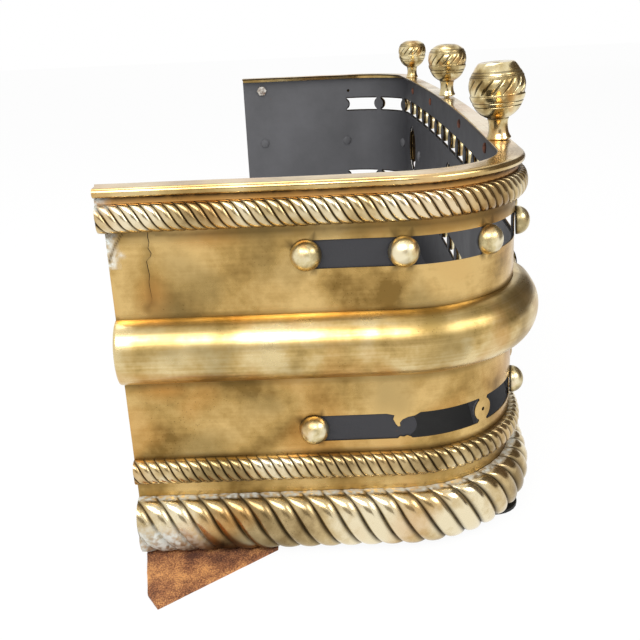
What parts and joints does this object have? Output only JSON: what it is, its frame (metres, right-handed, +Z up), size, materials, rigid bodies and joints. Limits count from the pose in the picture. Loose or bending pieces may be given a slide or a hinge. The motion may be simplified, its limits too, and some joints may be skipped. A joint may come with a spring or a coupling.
{
  "type": "fire fender",
  "caption": "U-shaped brass fire fender with a bowed front, pierced rows, rope mouldings, half-round, roundels, top rail and ball finials on iron plates.",
  "frame": {"origin": "on the floor, under the middle of the bounding box", "axes": "+Z up, X along the fender's length, the bowed front faces -Y and the open back faces +Y"},
  "size_m": [1.294, 0.3605, 0.3803],
  "materials": {
    "brass_band": "polished sheet, aged, with darker patches",
    "brass_rail": "polished, worn bright on top",
    "brass_rope": "stamped sheet, dark in the grooves",
    "brass_half_round": "polished tube, streaked",
    "brass_roundel": "stamped and pierced sheet",
    "brass_stud": "hollow stamped half ball, polished",
    "brass_finial": "turned, polished",
    "iron_liner": "matt dark grey stove paint",
    "iron_sole": "matt black",
    "iron_foot": "bare wrought plate, rusted"
  },
  "bodies": {
    "root": {"ball_stud_lower_1": "brass_stud", "ball_stud_lower_10": "brass_stud", "ball_stud_lower_11": "brass_stud", "ball_stud_lower_12": "brass_stud", "ball_stud_lower_13": "brass_stud", "ball_stud_lower_14": "brass_stud", "ball_stud_lower_15": "brass_stud", "ball_stud_lower_16": "brass_stud", "ball_stud_lower_17": "brass_stud", "ball_stud_lower_18": "brass_stud", "ball_stud_lower_19": "brass_stud", "ball_stud_lower_20": "brass_stud", "ball_stud_lower_21": "brass_stud", "ball_stud_lower_4": "brass_stud", "ball_stud_lower_5": "brass_stud", "ball_stud_lower_6": "brass_stud", "ball_stud_lower_7": "brass_stud", "ball_stud_lower_8": "brass_stud", "ball_stud_lower_9": "brass_stud", "ball_stud_upper_1": "brass_stud", "ball_stud_upper_10": "brass_stud", "ball_stud_upper_11": "brass_stud", "ball_stud_upper_12": "brass_stud", "ball_stud_upper_13": "brass_stud", "ball_stud_upper_14": "brass_stud", "ball_stud_upper_15": "brass_stud", "ball_stud_upper_16": "brass_stud", "ball_stud_upper_17": "brass_stud", "ball_stud_upper_18": "brass_stud", "ball_stud_upper_19": "brass_stud", "ball_stud_upper_2": "brass_stud", "ball_stud_upper_20": "brass_stud", "ball_stud_upper_21": "brass_stud", "ball_stud_upper_3": "brass_stud", "ball_stud_upper_4": "brass_stud", "ball_stud_upper_5": "brass_stud", "ball_stud_upper_6": "brass_stud", "ball_stud_upper_7": "brass_stud", "ball_stud_upper_8": "brass_stud", "ball_stud_upper_9": "brass_stud", "brass_band": "brass_band", "finial_centre": "brass_finial", "finial_left": "brass_finial", "finial_right": "brass_finial", "foot_plate_left": "iron_foot", "foot_plate_right": "iron_foot", "half_round_front_left": "brass_half_round", "half_round_front_right": "brass_half_round", "half_round_left": "brass_half_round", "half_round_right": "brass_half_round", "iron_liner": "iron_liner", "rope_base": "brass_rope", "rope_lower": "brass_rope", "rope_upper": "brass_rope", "roundel_centre": "brass_roundel", "roundel_left": "brass_roundel", "roundel_right": "brass_roundel", "sole_plate": "iron_sole", "top_rail": "brass_rail"}
  },
  "joints": []
}
